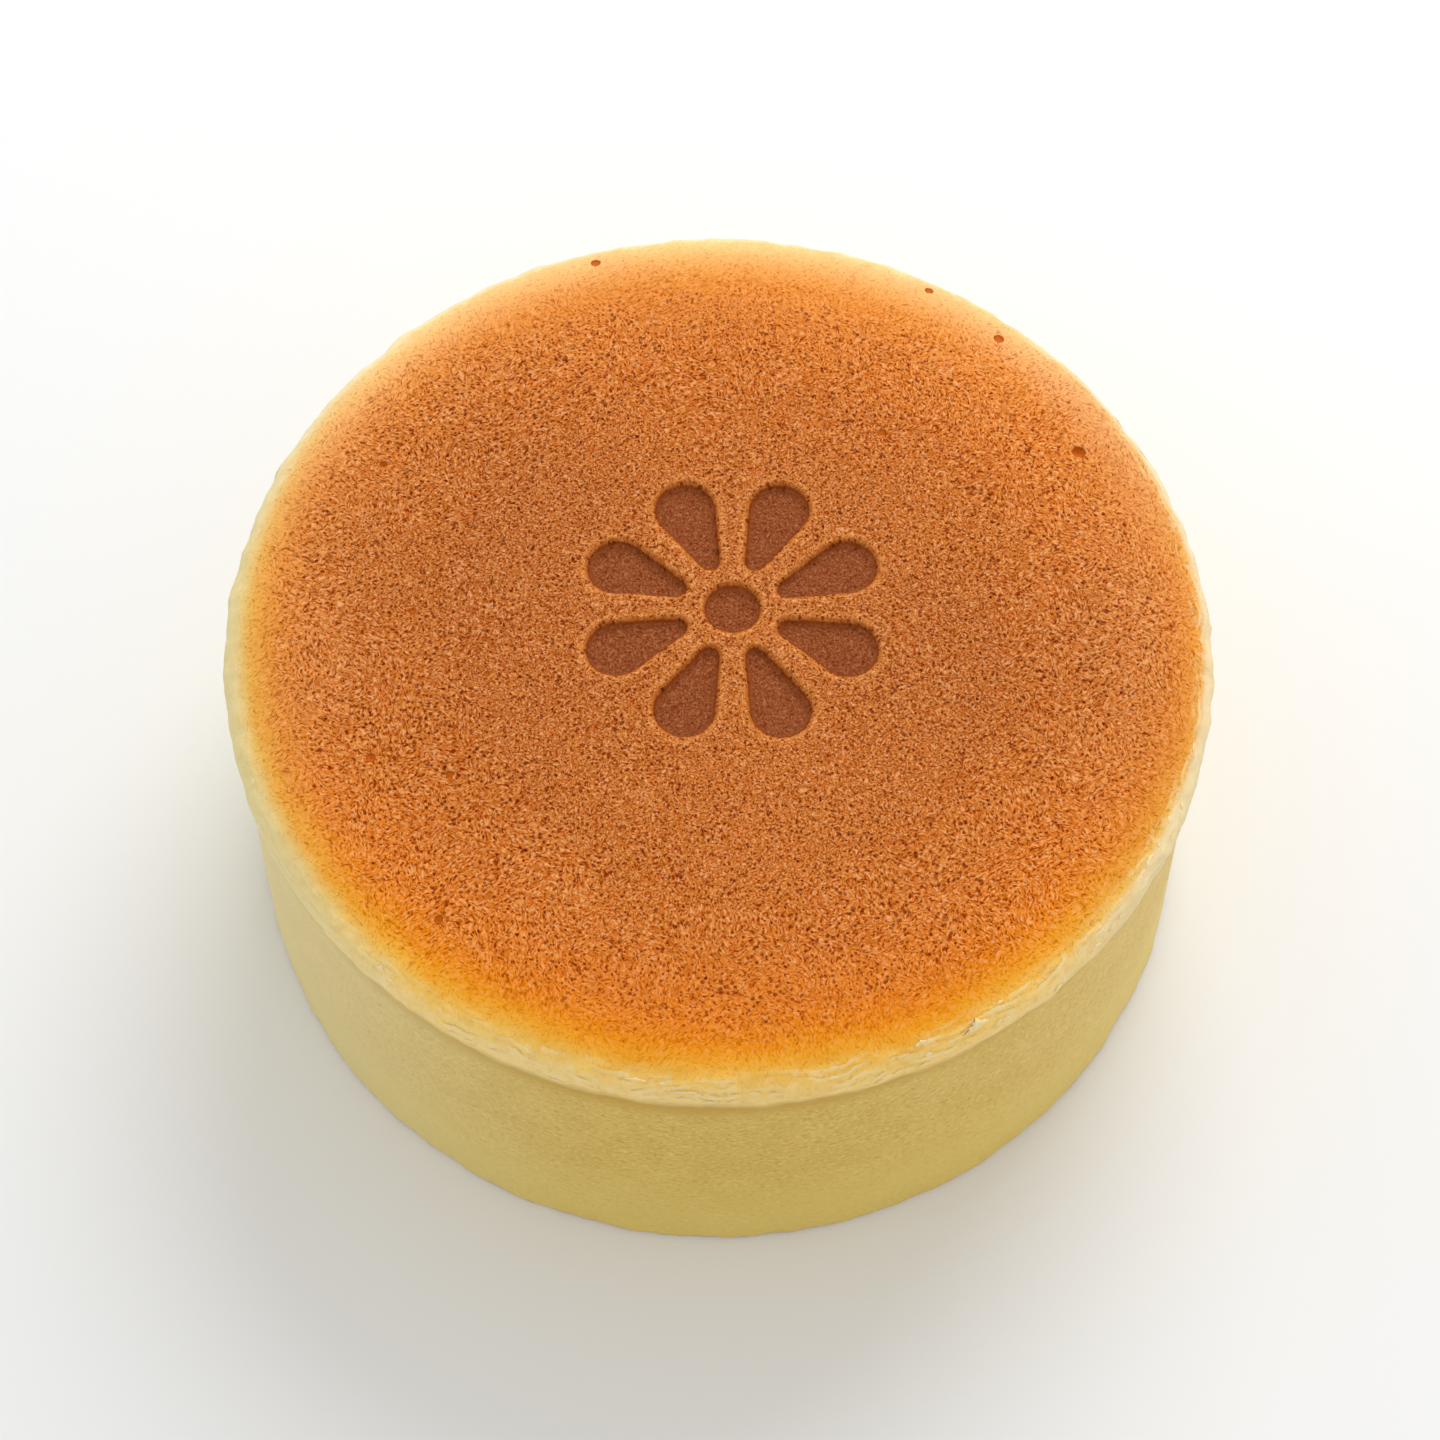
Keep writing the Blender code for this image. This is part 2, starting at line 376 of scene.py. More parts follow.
def close_under_lip(obj):
    """Turns the edge of the grid in and closes it, out of sight inside the wall."""
    deselect_all()
    obj.select_set(True)
    bpy.context.view_layer.objects.active = obj
    bpy.ops.object.mode_set(mode="EDIT")
    bpy.ops.mesh.select_all(action="SELECT")
    bpy.ops.mesh.region_to_loop()
    bpy.ops.mesh.extrude_edges_move(TRANSFORM_OT_translate={"value": (0, 0, -0.0006)})
    bpy.ops.transform.resize(value=(0.96, 0.96, 1))
    bpy.ops.mesh.edge_face_add()
    bpy.ops.mesh.select_all(action="SELECT")
    bpy.ops.mesh.normals_make_consistent(inside=False)
    bpy.ops.object.mode_set(mode="OBJECT")


def snap_pores(places, cells):
    """Moves the vertex nearest each pore down to its bottom and the eight round it to its mouth."""
    side = cells + 1
    flat = places.copy()
    flat[:, 2] = 0
    tree = kdtree.KDTree(len(flat))
    for i, place in enumerate(flat):
        tree.insert(place, i)
    tree.balance()
    used = np.zeros(len(flat), bool)
    depth = np.zeros(len(flat))
    pore = np.zeros(len(flat))
    for x, y, radius, sink in pore_places():
        _, middle, _ = tree.find((x, y, 0))
        row, column = divmod(middle, side)
        if not (1 <= row < side - 1 and 1 <= column < side - 1):
            continue
        around = [
            (row + a) * side + column + b for a in (-1, 0, 1) for b in (-1, 0, 1) if (a, b) != (0, 0)
        ]
        if used[middle] or used[around].any():
            continue
        used[middle] = True
        used[around] = True
        pressed = fade(-flower_distance(np.array([[x, y]])), -0.0006, 0.0)[0]
        places[middle, :2] = (x, y)
        depth[middle] = sink * (1 - 0.5 * pressed)
        pore[middle] = 1.0
        for other in around:
            offset = places[other, :2] - (x, y)
            reach = max(1e-9, math.hypot(*offset))
            places[other, :2] = np.array((x, y)) + offset / reach * (0.35 * reach + 0.65 * radius * 1.25)
    return depth, pore


def make_top(material):
    """The browned top, the shoulder, the torn pale ledge and the lip, in one piece."""
    obj, ring, turn = top_grid()
    profile = top_profile()
    stretches = np.hypot(*np.diff(profile, axis=0).T)
    reached = np.concatenate([[0], np.cumsum(stretches)])
    travelled = (ring * 1.12 - 0.12 * ring**6) * reached[-1]
    radius = np.interp(travelled, reached, profile[:, 0])
    flat = np.stack([radius * np.cos(turn), radius * np.sin(turn)], axis=1)
    near_flower = radius < FLOWER_REACH
    flat[near_flower] = sharpen_flower(flat[near_flower])
    places = np.column_stack([flat, np.zeros(len(flat))])
    pore_depth, pore = snap_pores(places, TOP_CELLS)
    on_slope = radius > CROWN_RADIUS
    new_radius = np.hypot(places[:, 0], places[:, 1])
    smooth_height = np.where(
        new_radius < CROWN_RADIUS,
        crown_height(new_radius),
        np.interp(travelled, reached, profile[:, 1]),
    )
    # On the shoulder a pore's ring has moved across the slope, so its height is read off the slope again
    shoulder_angle = np.arccos(np.clip((new_radius - CROWN_RADIUS) / SHOULDER_WIDTH, 0, 1))
    slope_height = RIM_HEIGHT + (SHOULDER_HEIGHT - RIM_HEIGHT) * np.sin(shoulder_angle)
    moved_there = on_slope & (np.abs(new_radius - radius) > 1e-7) & (new_radius >= CROWN_RADIUS)
    smooth_height = np.where(moved_there, slope_height, smooth_height)
    places[:, 2] = smooth_height
    outwards, up = unevenness(places)

    # Which way the smooth surface faces, as (outwards, up)
    before, after = travelled - FACING_STEP, travelled + FACING_STEP
    ahead = np.interp(after, reached, profile[:, 0]) - np.interp(before, reached, profile[:, 0])
    down = np.interp(before, reached, profile[:, 1]) - np.interp(after, reached, profile[:, 1])
    size = np.maximum(np.hypot(ahead, down), 1e-12)
    face_out, face_up = down / size, ahead / size

    mark = flower_distance(places[:, :2])
    pressed = 1 - fade(mark, -MARK_EDGE, MARK_EDGE)
    on_crust = 1 - fade(radius, *CRUST_END)
    on_ledge = fade(radius, *LEDGE_START)

    # Fine relief of the crust: winding wrinkles, pores and burst bubbles
    wrinkle = np.zeros(len(places))
    crust = radius < WRINKLE_RADIUS
    wide_ridges, narrow_ridges = ridges(places[crust], 0.0021, 4.4), ridges(places[crust], 0.0013, 9.2)
    wrinkle[crust] = wide_ridges * 0.6 + narrow_ridges * 0.4 - 0.55
    relief = on_crust * wrinkle * WRINKLE_DEPTH * (1 - 0.6 * pressed)
    relief -= pore_depth
    burst = np.full(len(places), NO_BUBBLE)
    for distance, degrees, width in bubble_places():
        angle = math.radians(degrees)
        away = np.hypot(places[:, 0] - distance * math.cos(angle), places[:, 1] - distance * math.sin(angle))
        relief -= (1 - fade(away, width * BUBBLE_FLOOR, width * BUBBLE_EDGE)) * width * BUBBLE_SINK
        burst = np.minimum(burst, away / width)

    # The torn ledge: thin layers that end in uneven steps running round the cake, most at the front right
    ledge = on_ledge > 0
    around = np.column_stack([np.cos(turn[ledge]), np.sin(turn[ledge]), travelled[ledge] / RIM_RADIUS])
    ragged = bumps(around, 0.021, 7.7)
    wander = bumps(around, (0.16, 0.16, 1.0), 2.6) + 0.4 * bumps(around, (0.055, 0.055, 0.5), 5.1)
    frontness = 0.56 + 0.44 * np.cos(turn[ledge] - FRONT_RIGHT)
    phase = np.zeros(len(places))
    layering = np.zeros(len(places))
    phase[ledge] = (travelled[ledge] - reached[-1]) / LAYER_PITCH + 1.4 * wander + 0.22 * ragged + 20
    layering[ledge] = fade(bumps(around, (0.065, 0.065, 0.017), 9.4), -0.15, 0.30) * frontness
    layering *= on_ledge * fade(travelled, reached[-1] - 0.0042, reached[-1] - 0.0058)
    share = phase - np.floor(phase)
    relief += layering * (fade(share, 0.0, 0.30) - share) * 2 * LAYER_STEP
    lumps = bumps(around, 0.048, 12.6) * 0.00020 + bumps(around, 0.027, 15.8) * 0.00012
    relief[ledge] += on_ledge[ledge] * (ragged * 0.00007 + lumps)

    outwards = outwards + face_out * relief
    up = up + face_up * relief - flower_sink(mark)
    places = moved(places, outwards, up)
    set_places(obj.data, places)
    store_values(obj.data, "pore", pore)
    store_values(obj.data, "burst", burst)
    store_values(obj.data, "mark", np.clip(mark * 1000, -4, 4))
    store_values(obj.data, "bake", bake_level(new_radius, turn))
    store_values(obj.data, "phase", phase)
    store_values(obj.data, "layering", layering)
    store_values(obj.data, "wrinkle", wrinkle)
    close_under_lip(obj)
    finish_piece(obj, "browned_top", material)
    return obj


def make_wall(material):
    """The crumb wall with its wavy foot, and the underside."""
    profile = wall_profile()
    deselect_all()
    mesh = bpy.data.meshes.new("crumb_wall")
    mesh.from_pydata([(r, 0, z) for r, z in profile], [(i, i + 1) for i in range(len(profile) - 1)], [])
    obj = bpy.data.objects.new("crumb_wall", mesh)
    bpy.context.scene.collection.objects.link(obj)
    obj.select_set(True)
    bpy.context.view_layer.objects.active = obj
    bpy.ops.object.mode_set(mode="EDIT")
    bpy.ops.mesh.select_all(action="SELECT")
    bpy.ops.mesh.spin(steps=WALL_COLUMNS, angle=2 * math.pi, center=(0, 0, 0), axis=(0, 0, 1))
    bpy.ops.mesh.select_all(action="SELECT")
    bpy.ops.mesh.remove_doubles(threshold=0.00001)
    bpy.ops.mesh.select_all(action="DESELECT")
    bpy.ops.mesh.select_non_manifold()
    bpy.ops.mesh.edge_face_add()
    bpy.ops.mesh.select_all(action="SELECT")
    bpy.ops.mesh.normals_make_consistent(inside=False)
    bpy.ops.object.mode_set(mode="OBJECT")
    places = vertex_places(obj.data)
    turn = np.arctan2(places[:, 1], places[:, 0])
    outwards, up = unevenness(places)
    shown = fade(places[:, 2], 0.0, 0.0006) * (1 - fade(places[:, 2], NECK_HEIGHT - 0.002, NECK_HEIGHT))
    around = np.column_stack([np.cos(turn), np.sin(turn), places[:, 2]])
    dash = bumps(around, (0.022, 0.022, 0.0014), 11.3)
    foot = 1 - fade(places[:, 2], 0.0006, 0.0035)
    outwards = outwards + shown * dash * 0.00003 + foot * 0.00028 * bumps(places, 0.0030, 17.1)
    up[places[:, 2] < 0.0001] = 0
    set_places(obj.data, moved(places, outwards, up))
    finish_piece(obj, "crumb_wall", material)


def flake_places():
    """(angle in degrees, radius, length, width, lift) of each flake: the seen ones, then strays."""
    draw = random.Random(FLAKE_SEED)
    places = list(SEEN_FLAKES)
    for i in range(STRAY_FLAKES):
        in_front = i < STRAY_FLAKES * STRAY_SHARE_IN_FRONT
        degrees = draw.gauss(-50, 32) if in_front else draw.uniform(0, 360)
        radius = RIM_RADIUS - 0.0028 * draw.random() ** 1.8
        length = draw.uniform(0.0009, 0.0026)
        width = draw.uniform(0.0005, 0.0009)
        lift = draw.uniform(0, 0.00012)
        places.append((degrees, radius, length, width, lift))
    return places


def make_flakes(material, top):
    """Small thin torn flakes that lie on the ledge with one edge lifted."""
    ledge = BVHTree.FromObject(top, bpy.context.evaluated_depsgraph_get())
    deselect_all()
    bpy.ops.mesh.primitive_grid_add(x_subdivisions=10, y_subdivisions=4, size=1)
    flake = bpy.context.active_object
    thickness = flake.modifiers.new("thickness", "SOLIDIFY")
    thickness.thickness = FLAKE_THICKNESS_SHARE
    thickness.offset = 0
    bpy.ops.object.modifier_apply(modifier="thickness")
    shape = vertex_places(flake.data)
    copies = []
    for i, (degrees, radius, length, width, lift) in enumerate(flake_places()):
        turn = math.radians(degrees)
        angle = math.acos(min(1.0, (radius - CROWN_RADIUS) / SHOULDER_WIDTH))
        height = RIM_HEIGHT + (SHOULDER_HEIGHT - RIM_HEIGHT) * math.sin(angle)
        local = shape.copy()
        # A torn outline: pointed ends, a peak on the inner side, and thinner towards the edges
        along_flake = 2 * shape[:, 0]
        number = np.full(len(shape), i)
        zeros = np.zeros(len(shape))
        torn_edge = bumps(np.column_stack([shape[:, 0], number, zeros]), 0.17, 3.3)
        torn_end = bumps(np.column_stack([shape[:, 1], number, zeros]), 0.4, 8.1)
        local[:, 1] *= (1 - np.abs(along_flake) ** 1.25) * (1 + 0.7 * torn_edge) + 0.03
        local[:, 1] *= np.where(shape[:, 1] > 0, 1.2, 0.5)
        local[:, 0] += 0.25 * torn_end
        local *= (length, width, FLAKE_HEIGHT)
        local[:, 2] *= 1 - 0.75 * np.abs(2 * shape[:, 1])
        local[:, 2] += lift * fade(shape[:, 1], -0.5, 0.5) * (1 - 0.6 * np.abs(along_flake))
        # Bent round the cake, laid along the shoulder's slope and seated on the ledge as it is
        round_turn = turn + local[:, 0] / radius
        outwards = np.column_stack([np.cos(round_turn), np.sin(round_turn), np.zeros(len(shape))])
        tilt = np.array((math.cos(angle) / SHOULDER_WIDTH, math.sin(angle) / (SHOULDER_HEIGHT - RIM_HEIGHT)))
        tilt /= np.hypot(*tilt)
        reach = radius - OVAL_OF_RIM * math.sin(2 * turn + 0.1)
        placed = outwards * (reach - local[:, 1] * tilt[1])[:, None]
        placed[:, 2] = height + local[:, 1] * tilt[0]
        for j, spot in enumerate(placed):
            seat, normal, _, _ = ledge.find_nearest(Vector(spot))
            placed[j] = seat + normal * local[j, 2]
        copy = flake.copy()
        copy.data = flake.data.copy()
        bpy.context.scene.collection.objects.link(copy)
        set_places(copy.data, placed)
        copies.append(copy)
    bpy.data.objects.remove(flake)
    deselect_all()
    for copy in copies:
        copy.select_set(True)
    bpy.context.view_layer.objects.active = copies[0]
    bpy.ops.object.join()
    flakes = bpy.context.active_object
    deselect_all()
    flakes.select_set(True)
    bpy.ops.object.mode_set(mode="EDIT")
    bpy.ops.mesh.select_all(action="SELECT")
    bpy.ops.mesh.normals_make_consistent(inside=False)
    bpy.ops.object.mode_set(mode="OBJECT")
    finish_piece(flakes, "ledge_flakes", material)


# Materials


class Value:
    """A socket of a material. Sums on it read as sums and add the nodes they need."""

    def __init__(self, tree, socket):
        self.tree = tree
        self.socket = socket

    def make(self, kind, settings=None, sockets=None, output=0):
        """Any node: its type, its settings, then the values or links of its sockets."""
        node = self.tree.nodes.new(kind)
        for name, value in (settings or {}).items():
            if name == "stops":
                set_stops(node.color_ramp, value)
            else:
                setattr(node, name, value)
        for name, value in (sockets or {}).items():
            if isinstance(value, Value):
                self.tree.links.new(value.socket, node.inputs[name])
            else:
                node.inputs[name].default_value = value
        return Value(self.tree, node.outputs[output])

    def sum(self, operation, first, second):
        return self.make("ShaderNodeMath", {"operation": operation}, {0: first, 1: second})

    def __add__(self, other):
        return self.sum("ADD", self, other)

    __radd__ = __add__

    def __mul__(self, other):
        return self.sum("MULTIPLY", self, other)

    __rmul__ = __mul__

    def __sub__(self, other):
        return self.sum("SUBTRACT", self, other)

    def __rsub__(self, other):
        return self.sum("SUBTRACT", other, self)

    def fade(self, start, end, low=0.0, high=1.0):
        """low at start, high at end, and smooth between them."""
        return self.make(
            "ShaderNodeMapRange",
            {"interpolation_type": "SMOOTHSTEP"},
            {"Value": self, "From Min": start, "From Max": end, "To Min": low, "To Max": high},
        )

    def size(self):
        """This number without its sign."""
        return self.sum("ABSOLUTE", self, 0.0)

    def above(self, level):
        """1 where this is above a level, 0 elsewhere."""
        return self.sum("GREATER_THAN", self, level)

    def turned(self, angle):
        """A position turned about the vertical axis."""
        settings = {"rotation_type": "Z_AXIS"}
        return self.make("ShaderNodeVectorRotate", settings, {"Vector": self, "Angle": angle})

    def swirled(self, scale, reach):
        """A position shifted by slow clouds, so that what is laid on it runs in curves."""
        shift = self.make("ShaderNodeTexNoise", {}, {"Vector": self, "Scale": scale, "Detail": 0.0}, 1)
        settings = {"operation": "MULTIPLY_ADD"}
        return self.make("ShaderNodeVectorMath", settings, {0: shift, 1: (reach,) * 3, 2: self})

    def stretch(self, scale):
        """A position scaled by three numbers."""
        return self.make("ShaderNodeVectorMath", {"operation": "MULTIPLY"}, {0: self, 1: scale})

    def length(self):
        """How far a position is from the middle."""
        return self.make("ShaderNodeVectorMath", {"operation": "LENGTH"}, {0: self}, 1)

    def part(self, index):
        """One of a position's three numbers."""
        return self.make("ShaderNodeSeparateXYZ", {}, {"Vector": self}, index)

    def clouds(self, scale, detail=2.0, roughness=0.5):
        """Soft noise between 0 and 1."""
        return self.make(
            "ShaderNodeTexNoise",
            {"noise_dimensions": "3D", "noise_type": "FBM", "normalize": True},
            {"Vector": self, "Scale": scale, "Detail": detail, "Roughness": roughness},
        )

    def cells(self, scale):
        """Distance from the nearest of many scattered points, seen from above."""
        settings = {"voronoi_dimensions": "2D"}
        return self.make("ShaderNodeTexVoronoi", settings, {"Vector": self, "Scale": scale})

    def paint(self, other, share, blend="MIX"):
        """This colour with another over it, by a share."""
        return self.make(
            "ShaderNodeMix", {"data_type": "RGBA", "blend_type": blend}, {0: share, 6: self, 7: other}, 2
        )

    def ramp(self, stops):
        """A colour that changes with this number."""
        return self.make("ShaderNodeValToRGB", {"stops": stops}, {"Fac": self})


def set_stops(color_ramp, stops):
    """Sets a ramp's stops from (place, colour) pairs."""
    while len(color_ramp.elements) > 1:
        color_ramp.elements.remove(color_ramp.elements[-1])
    color_ramp.elements[0].position, color_ramp.elements[0].color = stops[0]
    for place, colour in stops[1:]:
        color_ramp.elements.new(place).color = colour


def colour(red, green, blue):
    """A colour as seen on a screen, 0 to 255, as the linear one that materials take."""
    linear = []
    for part in (red, green, blue):
        part /= 255
        linear.append(part / 12.92 if part <= 0.04045 else ((part + 0.055) / 1.055) ** 2.4)
    return (*linear, 1.0)


def start_material(name):
    """A new material: its shader and the position on the cake in millimetres."""
    material = bpy.data.materials.new(name)
    material.use_nodes = True
    tree = material.node_tree
    shader = tree.nodes["Principled BSDF"]
    start = Value(tree, None)
    place = start.make("ShaderNodeTexCoord", output=3).stretch((1000, 1000, 1000))
    return material, shader, place


def link(value, socket):
    value.tree.links.new(value.socket, socket)


def stored(place, name):
    """A number kept on the vertices."""
    return place.make("ShaderNodeAttribute", {"attribute_name": name}, output=2)


def bump_of(height, strength, distance):
    return height.make("ShaderNodeBump", {}, {"Strength": strength, "Distance": distance, "Height": height})


CREAM = colour(250, 220, 152)

# The crust's colour where it is baked as the front is at each radius in millimetres
BAKED_TONES = (
    (40.0, colour(197, 108, 40)),
    (55.0, colour(212, 117, 38)),
    (60.0, colour(224, 124, 34)),
    (64.0, colour(232, 129, 28)),
    (67.0, colour(238, 136, 18)),
    (69.0, colour(243, 148, 22)),
    (71.0, colour(248, 167, 40)),
    (73.0, colour(251, 193, 80)),
    (75.0, colour(255, 214, 122)),
    (77.0, CREAM),
)
TONES_FIRST, TONES_LAST = 40.0, 78.0


def make_crust_material():
    """Brown in the middle, orange and then yellow near the edge, cream on the ledge."""
    material, shader, place = start_material("baked_crust")
    radius = place.stretch((1, 1, 0)).length()
    across, back, height = place.part(0), place.part(1), place.part(2)
    sideways = across.size()
    wander = place.clouds(0.045, 1.0)
    mottle = place.clouds(0.30, 2.0, 0.6)
    grain = place.clouds(1.1, 3.0, 0.65)

    # Fine grain in the middle, and short streaks near the edge, which run one way in each patch of the crust
    patch = place.clouds(0.11, 1.0)
    direction = -0.65 + (patch.above(0.45) + patch.above(0.55)) * 1.05
    near_edge = (radius + (wander - 0.5) * 60).above(46.0)
    squeeze = place.make("ShaderNodeCombineXYZ", {}, {"X": 2.6 - near_edge * 1.1, "Y": 2.9, "Z": 1.5})
    streak = place.swirled(0.9, 0.9).turned(direction).stretch(squeeze).clouds(1.0, 2.0, 0.6)
    # The streaks' grooves are darker, partly the crust's own darker creases and partly painted shade; their
    # crests get a painted highlight
    hollow_dark_and_shade = streak.fade(0.52, 0.34) * 0.65 + streak.fade(0.40, 0.32) * 0.55
    painted_crest_highlight = streak.fade(0.49, 0.70)

    bake = stored(place, "bake")
    band = bake + (wander - 0.5) * 3 + (mottle - 0.5) * 2.6 + (grain - 0.5) * 1.6
    share_of_tones = band.make(
        "ShaderNodeMapRange",
        {},
        {"Value": band, "From Min": TONES_FIRST, "From Max": TONES_LAST, "To Min": 0, "To Max": 1},
    )
    span = TONES_LAST - TONES_FIRST
    baked = share_of_tones.ramp([((at - TONES_FIRST) / span, tone) for at, tone in BAKED_TONES])
    browned = bake.fade(71.5, 62.0)

    pore = stored(place, "pore").fade(0.30, 0.75)
    mark = stored(place, "mark")
    pressed = mark.fade(0.2, -0.2)
    halo = mark.fade(2.4, 0.5)
    calmer = 1.0 - back.size().fade(48.0, 64.0) * 0.35
    etched = bake.fade(80.0, 62.0) * calmer * mark.size().fade(0.0, 1.1, 0.25, 1.0)
    phase = stored(place, "phase") + (grain - 0.5) * 0.5
    layering = stored(place, "layering")
    share = phase.sum("FRACT", phase, 0.0)
    flecks = place.clouds(0.5, 2.0)
    # Each ledge layer's torn step, where a line of painted shadow goes
    torn = share.fade(0.0, 0.07) * share.fade(0.26, 0.12) * layering * flecks.fade(0.60, 0.42)
    dried = share.fade(0.24, 0.40) * share.fade(0.85, 0.55) * layering
    groove_dark_and_shade = stored(place, "wrinkle").fade(0.05, -0.25)
    speck = (place.cells(0.9) + (mottle - 0.5) * 0.7 + (grain - 0.5) * 0.3).fade(0.19, 0.12)

    tone = baked.paint(colour(184, 88, 30), mottle.fade(0.42, 0.72) * browned * 0.25)
    tone = tone.paint(colour(228, 146, 72), mottle.fade(0.55, 0.28) * browned * 0.15)
    # Darker in the wrinkles' grooves: partly the crust's own darker creases, partly painted shade
    tone = tone.paint(colour(150, 70, 20), groove_dark_and_shade * browned * 0.15)
    # Painted sheen: paler and hazier towards the back of the outer crust, where the back light glances off
    # it
    painted_back_sheen = back.fade(-5.0, 62.0) * radius.fade(64.0, 75.0)
    tone = tone.paint(colour(255, 226, 192), painted_back_sheen * 0.34)
    # Painted sheen: greyer and hazier towards the left and right sides of the crust
    tone = tone.paint(colour(184, 156, 118), sideways.fade(46.0, 73.0) * 0.20)
    right_band = across.fade(46.0, 62.0) * radius.fade(65.5, 69.5) * radius.fade(74.5, 72.8)
    tone = tone.paint(colour(205, 103, 0), right_band * 0.22)
    # Painted shade: the browned crust darker at the back left
    tone = tone.paint(colour(150, 80, 36), across.fade(0.0, -45.0) * back.fade(0.0, 40.0) * browned * 0.14)
    # Painted light: brighter orange on the front of the crust
    tone = tone.paint(colour(240, 134, 36), back.fade(0.0, -50.0) * radius.fade(72.0, 60.0) * 0.24)
    # Painted sheen: paler towards the back of the crust
    tone = tone.paint(colour(246, 206, 150), back.fade(12.0, 66.0) * radius.fade(46.0, 70.0) * 0.12)
    tone = tone.paint(colour(232, 148, 72), halo * 0.45)
    tone = tone.paint(colour(146, 74, 38), pressed * 0.95)
    # Painted shade along the pressed flower's edge: an orange-brown band and a dark line on its wall, all
    # round
    tone = tone.paint(colour(166, 74, 8), mark.fade(0.75, 0.15) * mark.fade(-0.30, -0.05) * 0.6)
    tone = tone.paint(colour(110, 40, 2), mark.fade(0.20, 0.05) * mark.fade(-0.30, -0.05) * 0.6)
    # Painted shade in the streaks' grooves over their own darker colour, then a painted highlight on their
    # crests
    tone = tone.paint(colour(170, 104, 24), hollow_dark_and_shade * etched * (1.0 - pressed * 0.4), "MULTIPLY")
    tone = tone.paint(colour(255, 198, 142), painted_crest_highlight * etched * (0.55 - pressed * 0.36))
    tone = tone.paint(colour(148, 80, 6), speck * browned * (0.75 - pressed * 0.45), "MULTIPLY")
    tone = tone.paint(colour(156, 88, 8), pore * (0.20 + browned * 0.45), "MULTIPLY")
    burst = stored(place, "burst") + (grain - 0.5) * 0.15
    tone = tone.paint(colour(206, 100, 16), burst.fade(0.60, 0.50) * 0.9)
    # Painted shade: a dark ring on the burst bubbles' walls, all round
    tone = tone.paint(colour(140, 56, 6), burst.fade(0.60, 0.52) * burst.fade(0.30, 0.50) * 0.55)
    ledge = radius.fade(72.5, 74.5)
    tone = tone.paint(colour(226, 184, 104), flecks.fade(0.54, 0.70) * ledge * 0.40)
    tone = tone.paint(colour(250, 234, 190), flecks.fade(0.46, 0.32) * ledge * 0.28)
    # Painted shadow: an amber line along each layer's torn step
    tone = tone.paint(colour(206, 152, 64), torn * 0.65)
    tone = tone.paint(colour(252, 232, 178), dried * 0.6)
    # Painted light: paler and cooler on the outer crust at the left
    tone = tone.paint(colour(232, 220, 170), across.fade(-40.0, -72.0) * bake.fade(71.5, 76.0) * 0.55)
    outermost = radius.fade(74.1, 75.5)
    # Painted sheen: paler at the very rim on the right and at the back
    tone = tone.paint(colour(240, 226, 188), across.fade(40.0, 72.0) * outermost * 0.65)
    tone = tone.paint(colour(250, 236, 206), back.fade(10.0, 62.0) * outermost * 0.40)
    # Under the lip the colour turns to the crumb's, darkened and yellowed there as painted shade of the
    # lip's overhang
    tone = tone.paint(colour(202, 172, 98), height.fade(57.0, 53.5) * 0.8)
    tone = tone.paint(colour(202, 164, 66), height.fade(54.0, 52.4))
    link(tone, shader.inputs["Base Color"])

    gloss = 0.58 - browned * 0.10 + (grain - 0.5) * 0.25 + pressed * 0.05
    link(gloss, shader.inputs["Roughness"])
    shader.inputs["Specular IOR Level"].default_value = 0.02

    link(bump_of(streak * browned, 0.9, 0.00024), shader.inputs["Normal"])
    return material


def make_crumb_material():
    """Dense pale yellow crumb with faint level dashes, toasted in spots along the very foot."""
    material, shader, place = start_material("pale_crumb")
    across, height = place.part(0), place.part(2)
    mottle = place.clouds(0.14, 2.0)
    grain = place.clouds(1.4, 3.0, 0.6)
    dashes = place.swirled(0.7, 1.0).stretch((0.9, 0.9, 1.7)).clouds(1.3, 1.0)
    tone = mottle.fade(0.30, 0.70).ramp([(0.0, colour(217, 180, 76)), (1.0, colour(222, 187, 86))])
    tone = tone.paint(colour(198, 154, 26), dashes.fade(0.54, 0.72) * 0.70)
    tone = tone.paint(colour(244, 218, 144), dashes.fade(0.46, 0.28) * 0.42)
    # Painted shadow: darker and yellower on the top of the wall under the lip
    lip_shadow = height.fade(46.0, 51.0)
    tone = tone.paint(colour(204, 160, 46), lip_shadow * 0.92)
    tone = tone.paint(colour(230, 204, 104), height.fade(30.0, 5.0) * 0.6)
    # Painted sheen: paler towards the left side and, a little, the right
    tone = tone.paint(colour(234, 222, 176), across.fade(-15.0, -74.0) * 0.45)
    tone = tone.paint(colour(234, 216, 156), across.fade(40.0, 76.0) * 0.10)
    toasted = height.fade(1.2, 0.2) * grain.fade(0.40, 0.60)
    tone = tone.paint(colour(168, 120, 60), toasted * 0.6)
    link(tone, shader.inputs["Base Color"])
    link(0.55 + (grain - 0.5) * 0.15, shader.inputs["Roughness"])
    shader.inputs["Specular IOR Level"].default_value = 0.6
    link(bump_of(dashes, 0.3, 0.00015), shader.inputs["Normal"])
    return material


def make_flake_material():
    """The same crumb where it has dried a little and gone paler."""
    material, shader, place = start_material("dry_flake")
    grain = place.clouds(1.2, 3.0, 0.6)
    tone = grain.fade(0.4, 0.7).ramp([(0.0, CREAM), (1.0, colour(244, 226, 176))])
    link(tone, shader.inputs["Base Color"])
    link(0.6 + (grain - 0.5) * 0.2, shader.inputs["Roughness"])
    return material


# Camera, floor and light

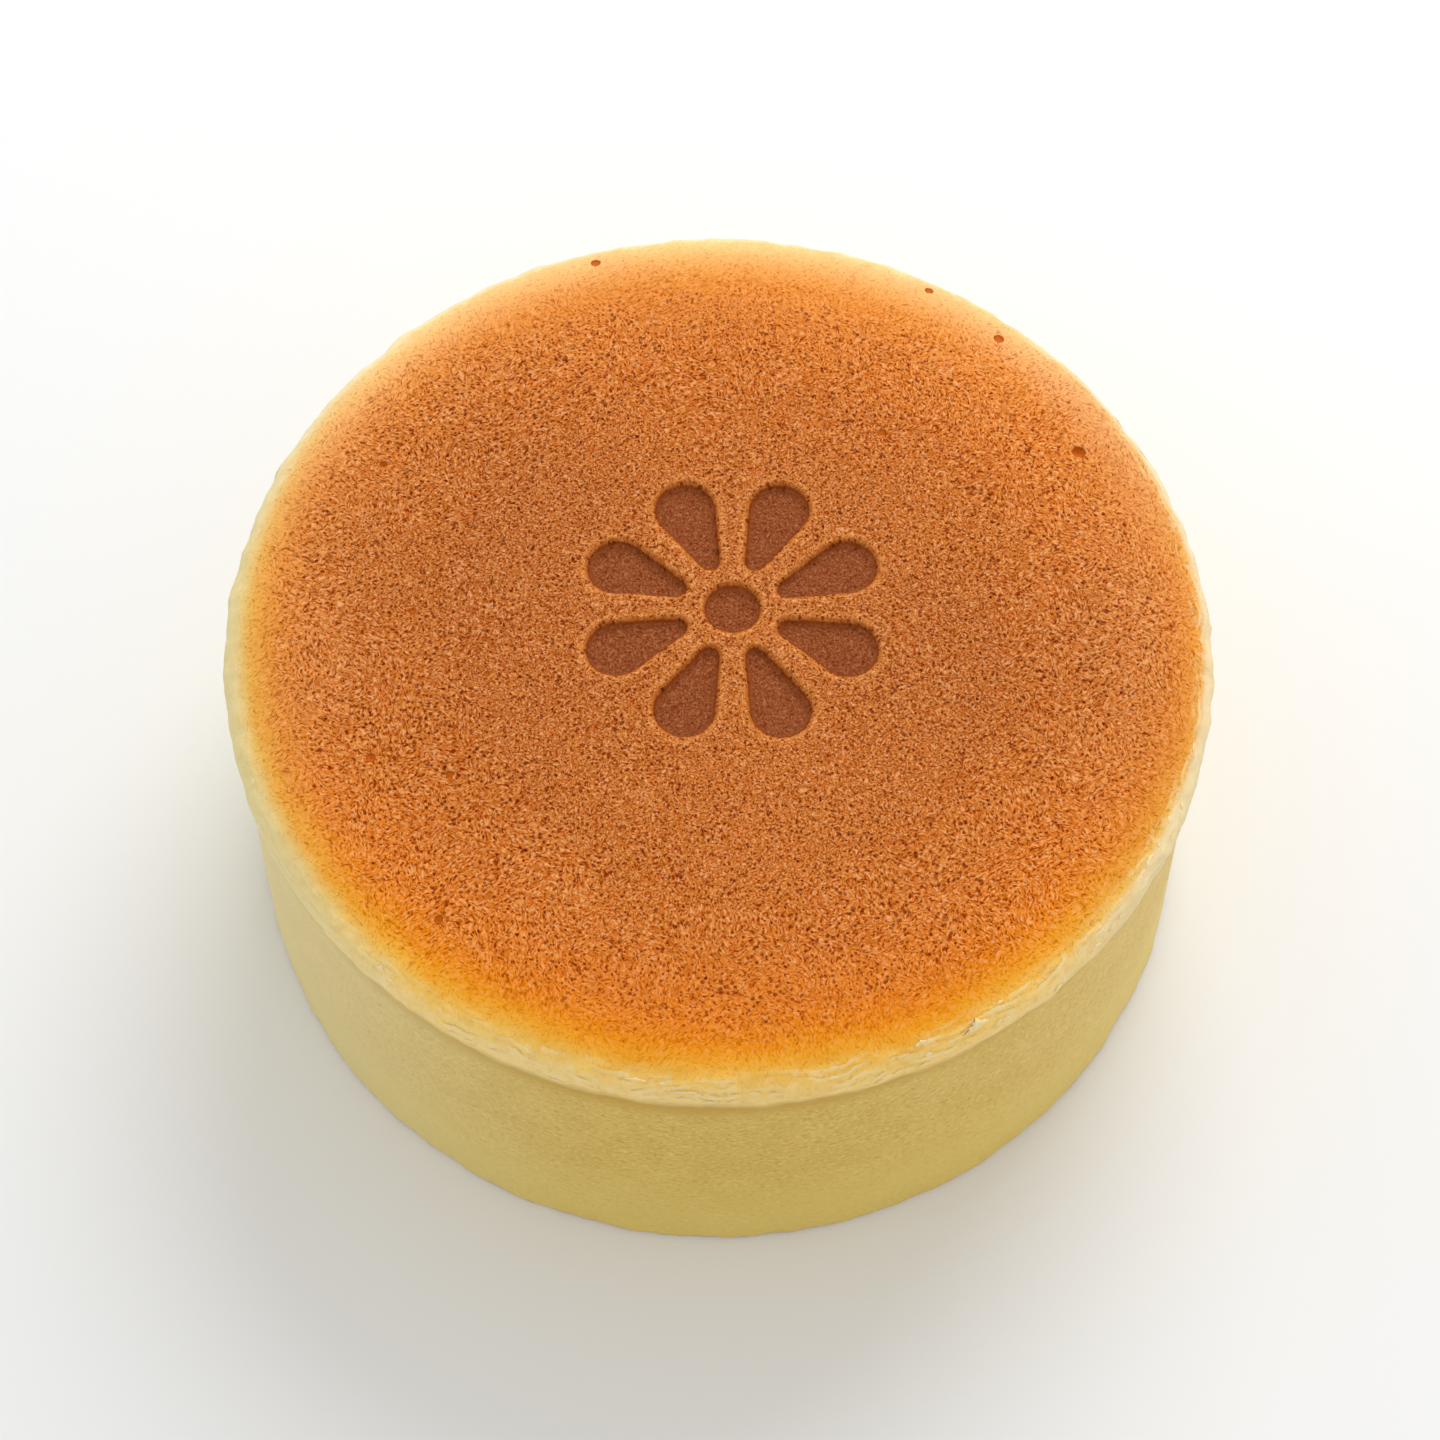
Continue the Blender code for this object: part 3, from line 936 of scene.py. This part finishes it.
LENS, SENSOR_WIDTH = 102.08, 36
CAMERA_PLACE = (0.0003, -0.3127, 0.6054)
CAMERA_TILT = math.radians(28.66)
FLOOR_SIZE, FLOOR_DROP = 8, 0.0001
FLOOR_GREY = (0.90, 0.90, 0.90, 1)
WORLD_LIGHT = 0.71


def add_camera():
    data = bpy.data.cameras.new("camera")
    data.lens = LENS
    data.sensor_width = SENSOR_WIDTH
    camera = bpy.data.objects.new("camera", data)
    camera.location = CAMERA_PLACE
    camera.rotation_euler = (CAMERA_TILT, 0, 0)
    bpy.context.scene.collection.objects.link(camera)
    bpy.context.scene.camera = camera


def add_light(name, place, size, power, aim=(0, 0, 0.04), tint=(1, 1, 1)):
    data = bpy.data.lights.new(name, "AREA")
    data.shape = "DISK"
    data.size = size
    data.energy = power
    data.color = tint
    lamp = bpy.data.objects.new(name, data)
    lamp.location = place
    lamp.rotation_euler = (Vector(aim) - Vector(place)).to_track_quat("-Z", "Y").to_euler()
    bpy.context.scene.collection.objects.link(lamp)


def add_floor():
    deselect_all()
    bpy.ops.mesh.primitive_plane_add(size=FLOOR_SIZE, location=(0, 0, -FLOOR_DROP))
    floor = bpy.context.active_object
    floor.name = "pale_floor"
    material = bpy.data.materials.new("pale_floor")
    material.use_nodes = True
    shader = material.node_tree.nodes["Principled BSDF"]
    shader.inputs["Base Color"].default_value = FLOOR_GREY
    shader.inputs["Roughness"].default_value = 0.9
    shader.inputs["Specular IOR Level"].default_value = 0.1
    floor.data.materials.append(material)


def set_world():
    world = bpy.data.worlds.new("studio")
    world.use_nodes = True
    background = world.node_tree.nodes["Background"]
    background.inputs["Color"].default_value = (1, 1, 1, 1)
    background.inputs["Strength"].default_value = WORLD_LIGHT
    bpy.context.scene.world = world
    bpy.context.scene.view_settings.view_transform = "Standard"


crust = make_crust_material()
browned_top = make_top(crust)
make_wall(make_crumb_material())
make_flakes(make_flake_material(), browned_top)

add_camera()
add_floor()
set_world()
add_light("window", (0.30, 0.84, 0.85), 0.9, 8.3)
add_light("right_side", (1.15, 0.0, 0.22), 0.8, 1.0)
add_light("left_side", (-1.15, 0.0, 0.22), 0.8, 1.3, tint=(0.55, 0.9, 1.0))
